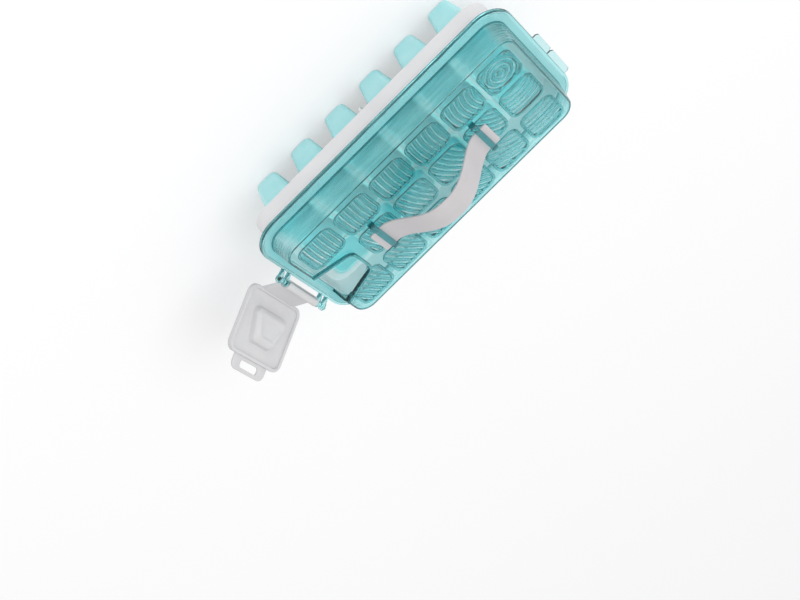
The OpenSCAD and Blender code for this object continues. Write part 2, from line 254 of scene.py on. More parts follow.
# Silicone rubber from a polished mould: light goes a few millimetres in and glows through thin
# walls, the skin has a soft sheen, and the colour clouds faintly.
cup_silicone, shader = moulded("silicone_translucent_moulded", CUP_AQUA, CUP_DEEP,
                               cloud=(CUP_CLOUD, 2.0), grain=(CUP_SKIN, 1.0), relief=(0.05, 0.15))
shader.inputs["Roughness"].default_value = 0.38
shader.inputs["IOR"].default_value = 1.41
shader.inputs["Subsurface Weight"].default_value = 1.0
shader.inputs["Subsurface Radius"].default_value = (0.7, 1.0, 1.05)
shader.inputs["Subsurface Scale"].default_value = 6 * MM

for column in range(1, CUP_COLUMNS + 1):
    for row in range(1, CUP_ROWS + 1):
        mesh = bmesh.new()
        loft(mesh, [rounded_ring(size, size, corner, z, 6) for size, corner, z in cup_rings()])
        centre = cup_centre(column, row)
        bmesh.ops.translate(mesh, verts=mesh.verts, vec=centre)
        cup = new_piece(f"soft_cup_{column}_{row}", mesh)
        set_down(cup, cup_silicone)
        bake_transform(cup)
        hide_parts(f"cup_{column}_{row}")


# Bin lid.
# A clear teal cover injection-moulded in one with its lip, raised hollow panels with fine rings, the
# collar of the pouring mouth, two keeper bars for the strap, a hinge bar on four lugs and two thin
# pull tabs. It lies loose on the frame's rim.

LID_T = 2.2
LIP_OUT = 2.7
LIP_X = RIM_X + LIP_OUT
LIP_Y = RIM_Y + LIP_OUT
LIP_R = 27
LIP_H = 4.2
LIP_EASE = 0.9
BEAD = 0.6
BEAD_H = 1.8
BEAD_EASE = 0.4
RIM_CLEAR = 0.1
LEDGE_Z = RIM_TOP + RIM_CLEAR
LEDGE_TOP = LEDGE_Z + LID_T
LIP_Z = LEDGE_TOP - LIP_H
BIN_RISE = 24
LID_TOP = LEDGE_TOP + BIN_RISE
PANEL_RISE = 1.0
FACE_Z = LID_TOP - PANEL_RISE
WALL_RISE = FACE_Z - LEDGE_TOP
WALL_IN = 9
WALL_FOOT = 1.2
DRAFT = 4
WALL_LEAN = math.atan2(DRAFT, WALL_RISE)
SHOULDER = 3
FACE_X = LIP_X - WALL_IN - DRAFT
SINK = 0.5
CUT_PAST = 1
MOUTH_Y = -6
MOUTH_LEN = 38
MOUTH_HALF_IN = 16
MOUTH_HALF_OUT = 28
MOUTH_ROUND = 8
MOUTH_SILL = 3
COLLAR_H = 2
COLLAR_BACK = 0.9
COLLAR_TOP = LID_TOP + COLLAR_H
PANEL_HALF = 18.2
PANEL_CORNER = 8
PANEL_EASE = 0.6
PANEL_STEP = 1.6
PANEL_STEPS = 48
HOLLOW_EASE = 0.4
RIPPLE_RUN = 5.2
RIPPLE_H = 1.3
RIPPLE_FADE = 6
KEEPER_X = (-61.5, 56.5)
KEEPER_W = 5.5
KEEPER_HALF = 21.9
KEEPER_CLEAR = 3.1
KEEPER_T = 2.2
KEEPER_ROUND = 1.8
KEEPER_EASE = 0.35
HINGE_R = 2.2
LUG_T = 2
LUG_WALL = 1.5
LUG_ROOT = 1.5
LUG_LOW = 0.4
LUG_DROP = 0.1
LUG_ARC = (75, 285)
LUG_EASE = 0.3
LUGS = (25.5, 34.5)
TABS = ((-17, 11), (-54, -18))
TAB_REACH = 5.5
TAB_T = 1.4
TAB_CORNER = 2.2
TAB_EASE = 0.3
LID_CLEAR = "FCFFFF"
# A painted reflection for the wall streaks, and a painted shade for the ledge.
LID_STREAK_REFLECTION_AND_SHADE = "CBEAEC"
# A painted shade that deepens the colour of the raised panels.
LID_RAISED_PAINTED_SHADE = "7FC8CD"
# A painted shade for the lid's dark edges.
LID_EDGE_PAINTED_SHADE = "4A8C92"
LID_TINT = "00F0F2"
LID_DEPTH = 9
STREAK = 1.2
STREAK_PULL = 0.04
STREAK_RELIEF = 0.4
# How much of the painted shade lies on the ledge, then the height and half width of the painted shade
# line on the shoulder.
LEDGE_PAINTED_SHADE = 0.6
EDGE_LINE = 0.45
EDGE_LINE_HALF = 0.3

hinge = next(joint for joint in frame["joints"] if joint["name"] == "flap_hinge")
HINGE = Vector(hinge["pos_m"]) / MM - Vector((TRAY_X / MM, 0, 0))


def lid_ring(inset, z):
    """A ring of the lid, parallel to its lip."""
    return rounded_ring(LIP_X - inset, LIP_Y - inset, LIP_R - inset, z, 12)


def arc_points(centre, radius, start, end, steps):
    """Points of a flat arc, with its angles in degrees."""
    angles = [math.radians(start + (end - start) * i / steps) for i in range(steps + 1)]
    return [(centre[0] + radius * math.cos(a), centre[1] + radius * math.sin(a)) for a in angles]


def mouth_outline(extra, reach):
    """The mouth seen from above: straight flared sides and two rounded inner corners."""
    inner_x = -FACE_X + MOUTH_LEN + extra
    half = MOUTH_HALF_IN + extra
    flare = (MOUTH_HALF_OUT - MOUTH_HALF_IN) / MOUTH_LEN
    radius = MOUTH_ROUND + extra
    turn = math.degrees(math.atan2(1, flare))
    centre = (inner_x - radius, half + flare * radius - radius * math.hypot(1, flare))
    far = half + flare * (inner_x + reach)
    inner = arc_points(centre, radius, 0, turn, 8)
    outline = [(-reach, -far)] + [(x, -y) for x, y in inner[::-1]] + inner + [(-reach, far)]
    return [(x, y + MOUTH_Y) for x, y in outline]


def prism(outlines, turn=None):
    """A solid skinned through flat outlines, each with its height. turn stands it on its side."""
    mesh = bmesh.new()
    loft(mesh, [[Vector((x, y, z)) for x, y in outline] for z, outline in outlines])
    if turn is not None:
        mesh.transform(turn)
    return mesh


def combine(piece, others, operation):
    """Unites the piece with other solids or cuts them from it, and keeps the resulting mesh."""
    for other in others:
        join = piece.modifiers.new("join", "BOOLEAN")
        join.operation = operation
        join.solver = "EXACT"
        join.object = other
    bpy.context.view_layer.update()
    graph = bpy.context.evaluated_depsgraph_get()
    shaped = bpy.data.meshes.new_from_object(piece.evaluated_get(graph))
    piece.modifiers.clear()
    piece.data = shaped
    for other in others:
        bpy.data.objects.remove(other)


def soften(mesh, width, segments=2):
    """Rounds the edges of a small solid."""
    bmesh.ops.bevel(mesh, geom=list(mesh.edges), offset=width, segments=segments, profile=0.5,
                    affect="EDGES", clamp_overlap=True)
    return mesh


def shoulder(centre_in, centre_z, radius, steps):
    """Inset and height along the rounded edge between the lid's wall and its top face."""
    points = arc_points((0, 0), radius, 180 - math.degrees(WALL_LEAN), 90, steps)
    return [(centre_in + x, centre_z + z) for x, z in points]


shoulder_z = FACE_Z - SHOULDER
shoulder_in = (WALL_IN + DRAFT * (shoulder_z - LEDGE_TOP) / WALL_RISE
               + SHOULDER / math.cos(WALL_LEAN))
bead_top = LIP_Z + BEAD_H
outside = [(LID_T, LIP_Z), (-BEAD + BEAD_EASE, LIP_Z), (-BEAD, LIP_Z + BEAD_EASE),
           (-BEAD, bead_top - BEAD_EASE * 1.5), (-BEAD + BEAD_EASE, bead_top - BEAD_EASE / 2),
           (0, bead_top), (0, LEDGE_TOP - LIP_EASE), (LIP_EASE / 3, LEDGE_TOP - LIP_EASE / 3),
           (LIP_EASE, LEDGE_TOP), (WALL_IN - WALL_FOOT, LEDGE_TOP),
           (WALL_IN - WALL_FOOT / 4, LEDGE_TOP + WALL_FOOT / 4),
           (WALL_IN + WALL_FOOT / 6, LEDGE_TOP + WALL_FOOT)]
outside += shoulder(shoulder_in, shoulder_z, SHOULDER, 6)
inside = [(LID_T, LEDGE_Z), (WALL_IN + LID_T - WALL_FOOT / 4, LEDGE_Z)]
inside += shoulder(shoulder_in, shoulder_z, SHOULDER - LID_T, 3)
lid_mesh = bmesh.new()
loft(lid_mesh, [lid_ring(inset, z) for inset, z in inside[::-1] + outside])
lid = new_piece("clear_lid", lid_mesh)


def square_reach(half, radius, angle):
    """How far a rounded square reaches from its middle in one direction."""
    c, s = abs(math.cos(angle)), abs(math.sin(angle))
    reach = half / max(c, s)
    knee = half - radius
    if min(c, s) * reach > knee:
        along = knee * (c + s)
        reach = along + math.sqrt(along * along - 2 * knee * knee + radius * radius)
    return reach


def raised_panel(centre):
    """One panel: eased sides, and a top with rings like those around a drop."""
    steps = PANEL_STEPS
    mesh = bmesh.new()
    top = {}
    for i in range(steps + 1):
        for j in range(steps + 1):
            u, v = 2 * i / steps - 1, 2 * j / steps - 1
            angle = math.atan2(v, u)
            out = max(abs(u), abs(v))
            reach = out * square_reach(PANEL_HALF - PANEL_EASE, PANEL_CORNER - PANEL_EASE, angle)
            spot = centre + Vector((reach * math.cos(angle), reach * math.sin(angle), 0))
            away = (spot - cup_centre(CUP_COLUMNS, 1)).length
            wave = 0.5 - 0.5 * math.sin(2 * math.pi * away / RIPPLE_RUN)
            spot.z = LID_TOP - RIPPLE_H * wave * wave * min(1, RIPPLE_FADE * (1 - out))
            top[i, j] = mesh.verts.new(spot)
    for i in range(steps):
        for j in range(steps):
            mesh.faces.new((top[i, j], top[i, j + 1], top[i + 1, j + 1], top[i + 1, j]))
    border = [(i, 0) for i in range(steps)] + [(steps, j) for j in range(steps)]
    border += [(steps - i, steps) for i in range(steps)] + [(0, steps - j) for j in range(steps)]
    above = [top[place] for place in border]
    sides = [(-0.25, LID_TOP - 0.1), (PANEL_EASE / 2, FACE_Z + 0.15), (PANEL_EASE, FACE_Z - 0.02),
             (PANEL_EASE, FACE_Z - PANEL_EASE)]
    for grow, z in sides:
        below = []
        for i, j in border:
            angle = math.atan2(2 * j / steps - 1, 2 * i / steps - 1)
            reach = square_reach(PANEL_HALF + grow, PANEL_CORNER + grow, angle)
            spot = centre + Vector((reach * math.cos(angle), reach * math.sin(angle), z))
            below.append(mesh.verts.new(spot))
        for k in range(len(border)):
            n = (k + 1) % len(border)
            mesh.faces.new((above[k], above[n], below[n], below[k]))
        above = below
    mesh.faces.new(above)
    return mesh


def panel_hollow(centre):
    """The space below one panel, which keeps the lid's wall even."""
    half, corner = PANEL_HALF - PANEL_STEP, PANEL_CORNER - PANEL_STEP
    roof = LID_TOP - LID_T
    edge = [(0, roof - PANEL_RISE - CUT_PAST), (0, roof - HOLLOW_EASE), (HOLLOW_EASE, roof)]
    mesh = bmesh.new()
    loft(mesh, [rounded_ring(half - inset, half - inset, corner - inset, z) for inset, z in edge])
    bmesh.ops.translate(mesh, verts=mesh.verts, vec=centre)
    return mesh


def all_panels(name, make):
    """One object with what make builds at each cup except where the mouth is."""
    whole = bmesh.new()
    for column in range(1, CUP_COLUMNS + 1):
        for row in range(1, CUP_ROWS + 1):
            if column > 1 or row != 2:
                part = make(cup_centre(column, row))
                spare = bpy.data.meshes.new(name)
                part.to_mesh(spare)
                part.free()
                whole.from_mesh(spare)
                bpy.data.meshes.remove(spare)
    return new_piece(name, whole)


combine(lid, [all_panels("panels", raised_panel)], "UNION")
combine(lid, [all_panels("hollows", panel_hollow)], "DIFFERENCE")

collar_reach = FACE_X - COLLAR_BACK
collar_line = [(FACE_Z - SINK, LID_T), (COLLAR_TOP - 0.6, LID_T), (COLLAR_TOP - 0.15, LID_T - 0.2),
               (COLLAR_TOP, LID_T - 0.6)]
collar = prism([(z, mouth_outline(extra, collar_reach)) for z, extra in collar_line])
mouth_reach = FACE_X + DRAFT
mouth_line = [(LEDGE_TOP + MOUTH_SILL, 0), (COLLAR_TOP - 0.5, 0), (COLLAR_TOP - 0.1, 0.2),
              (COLLAR_TOP + 0.1, 0.6)]
mouth = prism([(z, mouth_outline(extra, mouth_reach)) for z, extra in mouth_line])

stand_y = Matrix.Rotation(math.radians(90), 4, "X")
fittings = []
keeper_top = KEEPER_CLEAR + KEEPER_T
keeper_in = KEEPER_HALF - KEEPER_T
keeper_foot = -PANEL_RISE - SINK
bend_y = KEEPER_HALF - KEEPER_ROUND
bend_z = keeper_top - KEEPER_ROUND
bridge = [(-KEEPER_HALF, keeper_foot), (-KEEPER_HALF, bend_z)]
bridge += arc_points((-bend_y, bend_z), KEEPER_ROUND, 180, 90, 4)[1:]
bridge += arc_points((bend_y, bend_z), KEEPER_ROUND, 90, 0, 4)
bridge += [(KEEPER_HALF, keeper_foot), (keeper_in, keeper_foot), (keeper_in, KEEPER_CLEAR)]
bridge += [(-keeper_in, KEEPER_CLEAR), (-keeper_in, keeper_foot)]
across = Matrix.Rotation(math.radians(90), 4, "Z") @ stand_y
for x in KEEPER_X:
    bar = prism([(-KEEPER_W / 2, bridge), (KEEPER_W / 2, bridge)], across)
    bmesh.ops.translate(bar, verts=bar.verts, vec=(x, 0, LID_TOP))
    fittings.append(new_piece("keeper", soften(bar, KEEPER_EASE)))

lug_root = -LIP_X + LUG_ROOT
lug_line = [(lug_root, LIP_Z + LUG_LOW), (lug_root, LEDGE_TOP - LUG_DROP)]
lug_line += arc_points((HINGE.x, HINGE.z), HINGE_R + LUG_WALL, *LUG_ARC, 14)
for side in (-1, 1):
    for y in LUGS:
        lug = prism([(-LUG_T / 2, lug_line), (LUG_T / 2, lug_line)], stand_y)
        bmesh.ops.translate(lug, verts=lug.verts, vec=(0, MOUTH_Y + side * y, 0))
        fittings.append(new_piece("lug", soften(lug, LUG_EASE)))

bar_half = LUGS[1] + LUG_T / 2
bar_line = arc_points((HINGE.x, HINGE.z), HINGE_R, 0, 360 * 31 / 32, 31)
hinge_bar = prism([(-bar_half, bar_line), (bar_half, bar_line)], stand_y)
bmesh.ops.translate(hinge_bar, verts=hinge_bar.verts, vec=(0, MOUTH_Y, 0))
fittings.append(new_piece("bar", hinge_bar))

tab_near = LIP_X - SINK
tab_far = LIP_X + BEAD + TAB_REACH
for low, high in TABS:
    tab_line = [(tab_near, low), (tab_far - TAB_CORNER, low), (tab_far, low + TAB_CORNER),
                (tab_far, high - TAB_CORNER), (tab_far - TAB_CORNER, high), (tab_near, high)]
    tab = prism([(LIP_Z, tab_line), (LIP_Z + TAB_T, tab_line)])
    fittings.append(new_piece("tab", soften(tab, TAB_EASE)))

combine(lid, [new_piece("collar", collar)] + fittings, "UNION")
combine(lid, [new_piece("mouth", mouth)], "DIFFERENCE")

# Tinted clear polystyrene from a polished mould: it shows what lies behind it, deepens where walls
# overlap and reflects sharply. A painted shade deepens the colour of what stands above the top face.
# The walls have long streaks along them, in relief and in a painted reflection of lines, drawn coarser
# than real ones so that they show, and the ledge has a painted shade. Edges carry a painted shade for
# the dark lines that clear plastic's edges show in a room. Lamps shine through it.
lid_plastic, tree, shader = new_material("polystyrene_tinted_polished")
place = add_node(tree, "ShaderNodeTexCoord")
along = add_node(tree, "ShaderNodeMapping", {"Scale": (STREAK_PULL, STREAK_PULL, 1.0)},
                 {"Vector": (place, "Object")})
streak = add_node(tree, "ShaderNodeTexNoise", {"Scale": 1 / (STREAK * MM), "Detail": 3.0},
                  {"Vector": (along, "Vector")})

# Masks by height and by how level a face is, each from where it starts to where it is full.
RAISED = {"From Min": (FACE_Z + 0.1) * MM, "From Max": (FACE_Z + 0.4) * MM}
FOOT = {"From Min": (LEDGE_TOP + 1.2) * MM, "From Max": (LEDGE_TOP + 0.6) * MM}
UPRIGHT = {"From Min": 0.75, "From Max": 0.35}
STEEP = {"From Min": 0.98, "From Max": 0.8}
height = add_node(tree, "ShaderNodeSeparateXYZ", links={"Vector": (place, "Object")})
raised = add_node(tree, "ShaderNodeMapRange", RAISED, {"Value": (height, "Z")})
foot = add_node(tree, "ShaderNodeMapRange", FOOT, {"Value": (height, "Z")})
facing = add_node(tree, "ShaderNodeSeparateXYZ", links={"Vector": (place, "Normal")})
level = add_node(tree, "ShaderNodeMath", links={0: (facing, "Z")}, operation="ABSOLUTE")
upright = add_node(tree, "ShaderNodeMapRange", UPRIGHT, {"Value": (level, "Value")})
steep = add_node(tree, "ShaderNodeMapRange", STEEP, {"Value": (level, "Value")})

# The walls' painted reflection streaks, the ledge's painted shade, and the painted shade that deepens the
# colour above the top face.
drawn = add_node(tree, "ShaderNodeMapRange", {"From Min": 0.56, "From Max": 0.44},
                 {"Value": (streak, "Fac")})
lines = add_node(tree, "ShaderNodeMath", links={0: (drawn, "Result"), 1: (upright, "Result")},
                 operation="MULTIPLY")
ledge = add_node(tree, "ShaderNodeMath", {1: LEDGE_PAINTED_SHADE}, {0: (foot, "Result")}, operation="MULTIPLY")
painted_streak_and_shade = add_node(tree, "ShaderNodeMath", links={0: (lines, "Value"), 1: (ledge, "Value")},
                 operation="MAXIMUM")
wall = add_node(tree, "ShaderNodeMix", {6: linear(LID_CLEAR), 7: linear(LID_STREAK_REFLECTION_AND_SHADE)},
                {0: (painted_streak_and_shade, "Value")}, data_type="RGBA")
tone = add_node(tree, "ShaderNodeMix", {7: linear(LID_RAISED_PAINTED_SHADE)},
                {0: (raised, "Result"), 6: (wall, 2)}, data_type="RGBA")

# Painted shade for the dark edges: the sides and sloped rings of what is raised, the lip's upright side,
# and a line on the shoulder.
sides = add_node(tree, "ShaderNodeMath", links={0: (steep, "Result"), 1: (raised, "Result")},
                 operation="MULTIPLY")
rim = add_node(tree, "ShaderNodeMath", links={0: (foot, "Result"), 1: (upright, "Result")},
               operation="MULTIPLY")
brow = add_node(tree, "ShaderNodeMath", {1: (FACE_Z - EDGE_LINE) * MM, 2: EDGE_LINE_HALF * MM},
                {0: (height, "Z")}, operation="COMPARE")
low_lines = add_node(tree, "ShaderNodeMath", links={0: (rim, "Value"), 1: (brow, "Value")},
                     operation="MAXIMUM")
painted_edge_shade = add_node(tree, "ShaderNodeMath", links={0: (sides, "Value"), 1: (low_lines, "Value")},
                      operation="MAXIMUM")
edge_shaded = add_node(tree, "ShaderNodeMix", {7: linear(LID_EDGE_PAINTED_SHADE)},
                 {0: (painted_edge_shade, "Value"), 6: (tone, 2)}, data_type="RGBA")
tree.links.new(edge_shaded.outputs[2], shader.inputs["Base Color"])

# The streaks' relief, a softer polish on upright faces, the tint in depth, and the lamps' way through.
relief = add_node(tree, "ShaderNodeBump", {"Distance": STREAK_RELIEF * MM},
                  {"Height": (streak, "Fac"), "Strength": (upright, "Result")})
tree.links.new(relief.outputs["Normal"], shader.inputs["Normal"])
blur = add_node(tree, "ShaderNodeMapRange", {**UPRIGHT, "To Min": 0.03, "To Max": 0.22},
                {"Value": (level, "Value")})
tree.links.new(blur.outputs["Result"], shader.inputs["Roughness"])
shader.inputs["IOR"].default_value = 1.5
shader.inputs["Transmission Weight"].default_value = 1.0
tint = add_node(tree, "ShaderNodeVolumeAbsorption",
                {"Color": linear(LID_TINT), "Density": 1 / (LID_DEPTH * MM)})
tree.links.new(tint.outputs["Volume"], tree.nodes["Material Output"].inputs["Volume"])
rays = add_node(tree, "ShaderNodeLightPath")
clear = add_node(tree, "ShaderNodeBsdfTransparent")
lit = add_node(tree, "ShaderNodeMixShader",
               links={0: (rays, "Is Shadow Ray"), 1: (shader, "BSDF"), 2: (clear, "BSDF")})
tree.links.new(lit.outputs["Shader"], tree.nodes["Material Output"].inputs["Surface"])

set_down(lid, lid_plastic, 35)
even = lid.modifiers.new("even_shading", "WEIGHTED_NORMAL")
even.keep_sharp = True
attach(lid, "lid")
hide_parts("bin_lid")


# Carry strap.
# A flat band of soft elastomer whose tails are pushed under the keeper bars. Between them it
# springs up as a smooth arch that a hand fits under.

STRAP_X = -2.5
STRAP_W = 29.5
STRAP_T = 2.2
STRAP_CLEAR = 0.4
STRAP_LIFT = 0.1
STRAP_Y = STRAP_W / 2 + STRAP_CLEAR - keeper_in
STRAP_Z = LID_TOP + STRAP_LIFT
STRAP_EDGE = 0.8
ARCH = 28
ARCH_POWER = 1.26
ARCH_HALF = 55.45
ARCH_LEAD = 3
TAIL = 67.75
TIP_LEN = 1
TIP_IN = 0.9
TIP_THIN = 0.5
STRAP_GREY = "C3C1C3"
STRAP_SHADE = "B4B0B2"
STRAP_TOUCH = 30
STRAP_GRAIN = 0.8


def strap_path(steps):
    """Points along the strap's lower side, each with the way that its upper side faces."""
    flat = [TAIL, TAIL - TIP_LEN, ARCH_HALF + ARCH_LEAD]
    path = [((-x, 0), (0, 1)) for x in flat]
    for i in range(steps + 1):
        u = 2 * i / steps - 1
        way = math.pi * abs(u) ** ARCH_POWER
        rate = ARCH_POWER * abs(u) ** (ARCH_POWER - 1) * math.copysign(math.sin(way), u)
        slope = -ARCH * math.pi / (2 * ARCH_HALF) * rate
        size = math.hypot(1, slope)
        path.append(((u * ARCH_HALF, ARCH * (1 + math.cos(way)) / 2), (-slope / size, 1 / size)))
    path += [((x, 0), (0, 1)) for x in flat[::-1]]
    return path


def strap_section(half, thick, edge):
    """The strap's cross-section with rounded edges: sideways place and height."""
    section = []
    for quarter, (side, upper) in enumerate(((1, 1), (-1, 1), (-1, 0), (1, 0))):
        centre = (side * (half - edge), thick - edge if upper else edge)
        section += arc_points(centre, edge, 90 * quarter, 90 * quarter + 90, 4)
    return section


strap_mesh = bmesh.new()
strap_rings = []
path = strap_path(64)
for i, ((x, z), (lean_x, lean_z)) in enumerate(path):
    tip = i in (0, len(path) - 1)
    half = STRAP_W / 2 - (TIP_IN if tip else 0)
    lift = TIP_THIN if tip else 0
    ring = []
    for side, rise in strap_section(half, STRAP_T - 2 * lift, min(STRAP_EDGE, STRAP_T / 2 - lift)):
        reach = rise + lift
        ring.append(Vector((STRAP_X + x + lean_x * reach, STRAP_Y + side, STRAP_Z + z + lean_z * reach)))
    strap_rings.append(ring)
loft(strap_mesh, strap_rings)
strap = new_piece("carry_strap_band", strap_mesh)

# Thermoplastic elastomer from a matte mould: nearly no gloss, a faint warm shade where hands have
# touched it, and a fine even grain that is drawn coarser than the real one so that it shows.
strap_rubber, shader = moulded("elastomer_matte_moulded", STRAP_GREY, STRAP_SHADE,
                               cloud=(STRAP_TOUCH, 3.0), grain=(STRAP_GRAIN, 2.0), relief=(0.1, 0.12))
shader.inputs["Roughness"].default_value = 0.6
shader.inputs["IOR"].default_value = 1.48
shader.inputs["Sheen Weight"].default_value = 0.1

set_down(strap, strap_rubber)
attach(strap, "lid")
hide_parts("carry_strap")


# Pouring flap.
# One soft moulding: a plate with a raised rim, a hollow plug that fills the mouth, a pull loop, and
# a web down to a split barrel that snaps onto the hinge bar. It hangs open under its own weight.

FLAP_NEAR = 7.6
FLAP_FAR = 69.1
FLAP_HALF = 38
FLAP_ROUND = 9
FLAP_FACE = 21.4
FLAP_RIM_H = 2.6
FLAP_RIM_W = 3.2
PLATE_T = 2
PLATE_FACE = FLAP_FACE + FLAP_RIM_H
PLATE_TOP = PLATE_FACE + PLATE_T
PLUG_NEAR = 23.1
PLUG_FAR = 55.1
PLUG_HALF_FAR = 17.6
PLUG_HALF_NEAR = 23.3
PLUG_DEPTH = 8
PLUG_ROUND = 7
PLUG_WALL = 2.4
PLUG_FLOOR = 3.6
LOOP_REACH = 13
LOOP_ROOT = 4
LOOP_HALF = 24
LOOP_ROUND = 7
SLOT_IN = 0.3
SLOT_HALF_X = 3.3
SLOT_HALF_Y = 13
SLOT_ROUND = 2.5
BARREL_R = 4.2
BARREL_HALF = 23
BARREL_EASE = 0.3
BORE_R = 2.3
SPLIT_AT = 225
SPLIT_OUT = 24
SPLIT_IN = 48
WEB_REACH = 3
FLAP_OPEN = hinge["range_deg"][1]
FLAP_GREY = "CFCFD0"
FLAP_SHADE = "C3C2C4"
FLAP_TOUCH = 22
FLAP_GRAIN = 0.9


def plate_ring(inset, z):
    """A ring of the flap's plate."""
    ring = rounded_ring((FLAP_FAR - FLAP_NEAR) / 2 - inset, FLAP_HALF - inset,
                        max(FLAP_ROUND - inset, 0.5), z, 8)
    return [point + Vector(((FLAP_NEAR + FLAP_FAR) / 2, 0, 0)) for point in ring]


def plug_ring(inset, z):
    """A ring of the plug, which tapers like the mouth."""
    radius = max(PLUG_ROUND - inset * 0.5, 3)
    far_x, far_y = PLUG_FAR - inset - radius, PLUG_HALF_FAR - inset - radius
    near_x, near_y = PLUG_NEAR + inset + radius, PLUG_HALF_NEAR - inset - radius
    corners = [(far_x, far_y), (near_x, near_y), (near_x, -near_y), (far_x, -far_y)]
    ring = []
    for quarter, corner in enumerate(corners):
        arc = arc_points(corner, radius, 90 * quarter, 90 * quarter + 90, 8)
        ring += [Vector((x, y, z)) for x, y in arc]
    return ring


# The flap's rings, each with its inset, from the recess in the plug's face out over the plug's side,
# the plate's rim and its far side into the plug's hollow.
plug_low = PLATE_FACE - PLUG_DEPTH
well_low = plug_low + PLUG_FLOOR
plug_face = [(9.8, 1.2), (8.8, 1.05), (7.6, 0.2), (7.0, 0), (6.0, 0), (5.2, 0.15), (4.4, 0.6),
             (1.8, 2.6), (1.1, 3.5)]
plug_root = [(0.4, 1.4), (0, 0.6), (-0.7, 0)]
plate_edge = [(FLAP_RIM_W + 0.9, PLATE_FACE), (FLAP_RIM_W + 0.2, PLATE_FACE - 0.3),
              (FLAP_RIM_W, PLATE_FACE - 0.9), (FLAP_RIM_W, FLAP_FACE + 0.7),
              (FLAP_RIM_W - 0.2, FLAP_FACE + 0.2), (FLAP_RIM_W - 0.8, FLAP_FACE),
              (0.8, FLAP_FACE), (0.2, FLAP_FACE + 0.2), (0, FLAP_FACE + 0.8),
              (0, PLATE_TOP - 0.8), (0.2, PLATE_TOP - 0.2), (0.8, PLATE_TOP)]
well_side = [(-0.8, PLATE_TOP), (-0.2, PLATE_TOP - 0.3), (0, PLATE_TOP - 1),
             (1.6, well_low + 1.2), (2.4, well_low + 0.3), (4, well_low)]
flap_rings = [plug_ring(inset, plug_low + rise) for inset, rise in plug_face]
flap_rings += [plug_ring(inset, PLATE_FACE - drop) for inset, drop in plug_root]
flap_rings += [plate_ring(inset, z) for inset, z in plate_edge]
flap_rings += [plug_ring(PLUG_WALL + inset, z) for inset, z in well_side]
flap_mesh = bmesh.new()
loft(flap_mesh, flap_rings)
flap = new_piece("soft_flap", flap_mesh)

loop_mid = FLAP_FAR + LOOP_REACH / 2 - LOOP_ROOT
slot_mid = FLAP_FAR + LOOP_REACH / 2 - SLOT_IN


def loop_ring(inset, z):
    """A ring of the pull loop's outer edge."""
    ring = rounded_ring(LOOP_REACH / 2 + LOOP_ROOT - inset, LOOP_HALF - inset, LOOP_ROUND - inset, z, 6)
    return [point + Vector((loop_mid, 0, 0)) for point in ring]


def slot_ring(inset, z):
    """A ring of the slot in the pull loop."""
    ring = rounded_ring(SLOT_HALF_X + inset, SLOT_HALF_Y + inset, SLOT_ROUND + inset, z, 6)
    return [point + Vector((slot_mid, 0, 0)) for point in ring]


loop_edge = [(0.6, PLATE_FACE), (0.15, PLATE_FACE + 0.2), (0, PLATE_FACE + 0.6),
             (0, PLATE_TOP - 0.6), (0.15, PLATE_TOP - 0.2), (0.6, PLATE_TOP)]
slot_edge = [(0.5, PLATE_TOP), (0.1, PLATE_TOP - 0.15), (0, PLATE_TOP - 0.5),
             (0, PLATE_FACE + 0.5), (0.1, PLATE_FACE + 0.15), (0.5, PLATE_FACE)]
loop_rings = [loop_ring(inset, z) for inset, z in loop_edge]
loop_rings += [slot_ring(inset, z) for inset, z in slot_edge]
loop_mesh = bmesh.new()
loft(loop_mesh, loop_rings, closed=True)
loop = new_piece("loop", loop_mesh)

barrel_line = arc_points((0, 0), BARREL_R, SPLIT_AT + SPLIT_OUT, SPLIT_AT + 360 - SPLIT_OUT, 28)
barrel_line += arc_points((0, 0), BORE_R, SPLIT_AT + 360 - SPLIT_IN, SPLIT_AT + SPLIT_IN, 22)
barrel_mesh = prism([(-BARREL_HALF, barrel_line), (BARREL_HALF, barrel_line)], stand_y)
barrel = new_piece("barrel", soften(barrel_mesh, BARREL_EASE))
web_far = FLAP_NEAR + WEB_REACH
web_line = [(-BARREL_R + 0.4, 1), (0.6, BARREL_R - 0.2), (web_far, PLATE_FACE - 0.6),
            (web_far, PLATE_TOP - 0.5), (FLAP_NEAR + 0.5, PLATE_TOP - 0.1)]
web_mesh = prism([(-BARREL_HALF, web_line), (BARREL_HALF, web_line)], stand_y)
web = new_piece("web", soften(web_mesh, BARREL_EASE))
combine(flap, [loop, barrel, web], "UNION")
flap.data.transform(Matrix.Translation((HINGE.x, MOUTH_Y, HINGE.z))
                    @ Matrix.Rotation(math.radians(-FLAP_OPEN), 4, "Y"))

# Thermoplastic elastomer from a satin mould: paler than the strap's, slightly glossy from handling,
# with the same fine grain, drawn as coarse as it needs to show.
flap_rubber, shader = moulded("elastomer_satin_moulded", FLAP_GREY, FLAP_SHADE,
                              cloud=(FLAP_TOUCH, 3.0), grain=(FLAP_GRAIN, 2.0), relief=(0.08, 0.12))
shader.inputs["Roughness"].default_value = 0.5
shader.inputs["IOR"].default_value = 1.48

set_down(flap, flap_rubber, 50)
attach(flap, "flap")
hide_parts("pour_flap")


# Floor, light and camera.
# A pale floor that half glows for the camera, so that it stays white and keeps the tray's shadow, an
# even room that glossy and clear pieces see as white, one wide soft lamp, and a tipped camera.

FLOOR_WHITE = "F2F2F3"
FLOOR_SHADE = "F0F0F1"
FLOOR_CLOUD = 400
FLOOR_HALF = 6.0
FLOOR_DROP = 0.2
FLOOR_GLOW = 0.5
WHITE = "FFFFFF"
ROOM_LIGHT = 0.86
LAMP_SIZE = 1.6
LAMP_POWER = 16
LAMP_AT = (50, 55, 1.9)
LENS = 76.5
SENSOR = 36
CAMERA_AT = (80.52, 35.521, 1.45122)
CAMERA_ROLL = 141.181
TARGET = Vector((-48.87, -35.49, 130.5)) * MM

